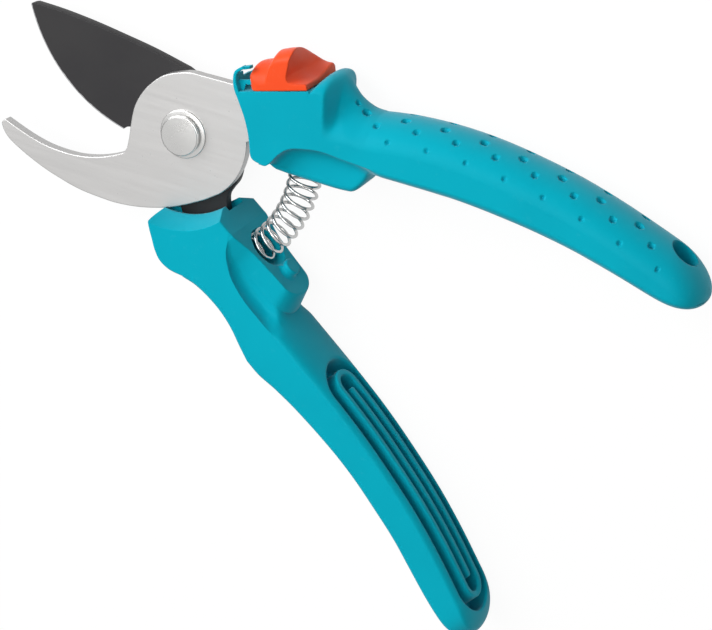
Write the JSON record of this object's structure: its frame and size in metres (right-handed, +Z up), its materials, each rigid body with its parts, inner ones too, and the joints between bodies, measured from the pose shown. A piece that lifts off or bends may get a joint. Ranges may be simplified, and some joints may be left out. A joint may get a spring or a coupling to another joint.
{
  "type": "pruning shears",
  "caption": "Bypass pruning shears with a hook plate, a curved cutting blade, two moulded handles, a coil return spring and a sliding thumb lock.",
  "frame": {"origin": "on the pivot axis, at the back end of the pivot bolt, on the plane that the shears lie on", "axes": "+X along the upper handle, +Y to the outer side of the upper handle, +Z up the pivot axis towards the bolt head"},
  "size_m": [0.2099, 0.1573, 0.022],
  "materials": {
    "handle_plastic": "teal glass-filled plastic with a fine matte mould grain",
    "slider_plastic": "orange plastic, satin",
    "hook_steel": "pale bead-blasted nickel-plated steel",
    "blade_steel": "dark non-stick coating on steel, satin",
    "bolt_steel": "turned and brushed steel",
    "pin_steel": "plain steel",
    "bush_brass": "plain turned bronze",
    "spring_steel": "bright plated spring wire"
  },
  "bodies": {
    "upper": {"upper_handle": "handle_plastic", "hook_plate": "hook_steel", "hook_pins": "pin_steel", "pivot_bolt": "bolt_steel", "pivot_bush": "bush_brass", "friction_washer": "pin_steel", "spring_washer": "spring_steel", "pivot_nut": "bolt_steel", "return_spring": "spring_steel", "detent_leaf": "spring_steel"},
    "lower": {"lower_handle": "handle_plastic", "cutting_blade": "blade_steel", "blade_pins": "pin_steel"},
    "lock": {"lock_slider": "slider_plastic", "lock_tongue": "pin_steel"}
  },
  "joints": [
    {"name": "handles_close", "type": "hinge", "parent": "upper", "child": "lower", "pos_m": [0, 0, 0.011], "axis": [0, 0, 1], "range_deg": [0, 37], "stiffness_Nm_per_rad": 0.5, "springref_deg": -17.19, "deforming": ["return_spring"]},
    {"name": "lock_slide", "type": "slide", "parent": "upper", "child": "lock", "axis": [-0.9613, -0.2756, 0], "range_m": [0, 0.0025]}
  ]
}
